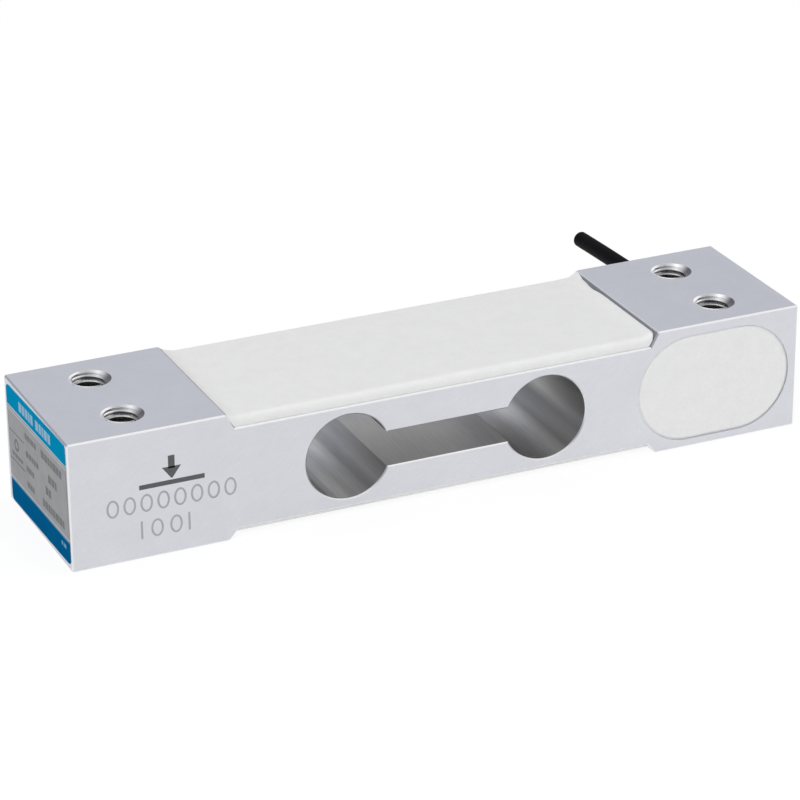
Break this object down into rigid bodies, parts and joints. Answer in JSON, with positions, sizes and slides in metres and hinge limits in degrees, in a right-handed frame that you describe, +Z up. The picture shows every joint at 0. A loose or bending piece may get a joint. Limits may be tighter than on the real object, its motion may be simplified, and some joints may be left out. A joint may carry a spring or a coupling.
{
  "type": "single point load cell",
  "caption": "Aluminium single point load cell: a binocular beam with threaded holes at both ends, silicone over its gauges and a short cable.",
  "frame": {"origin": "middle of the beam's underside, between the two end blocks", "axes": "+X along the beam from the load end with the label to the fixed end with the cable, +Y towards the back face that the cable leaves, +Z up, against the load"},
  "size_m": [0.1301, 0.0696, 0.022],
  "materials": {
    "beam_aluminium": "satin milled and clear anodised",
    "silicone_white": "matt, self-levelled",
    "label_silver": "silver film with two blue bands",
    "jacket_black": "satin PVC",
    "shield_tinned": "tinned copper braid",
    "insulation_red": "smooth",
    "insulation_black": "smooth",
    "insulation_green": "smooth",
    "insulation_white": "smooth",
    "polyimide_amber": "smooth film",
    "constantan_foil": "etched foil",
    "enamelled_copper": "enamelled",
    "board_green": "solder mask",
    "resistor_black": "moulded",
    "solder": "bright solder",
    "crimp_steel": "zinc plated"
  },
  "bodies": {
    "root": {"beam": "beam_aluminium", "label_film": "label_silver", "top_silicone_pad": "silicone_white", "under_silicone_coat": "silicone_white", "cavity_silicone": "silicone_white", "cable_sealant": "silicone_white", "cable_jacket": "jacket_black", "cable_shield": "shield_tinned", "crimp_ring": "crimp_steel", "bridge_board": "board_green", "trim_resistors": "resistor_black", "solder_joints": "solder", "core_red": "insulation_red", "core_black": "insulation_black", "core_green": "insulation_green", "core_white": "insulation_white", "gauge_wires_top": "enamelled_copper", "gauge_carrier_top_left": "polyimide_amber", "gauge_foil_top_left": "constantan_foil", "gauge_carrier_top_right": "polyimide_amber", "gauge_foil_top_right": "constantan_foil", "gauge_wires_under": "enamelled_copper", "gauge_carrier_under_left": "polyimide_amber", "gauge_foil_under_left": "constantan_foil", "gauge_carrier_under_right": "polyimide_amber", "gauge_foil_under_right": "constantan_foil"}
  },
  "joints": []
}
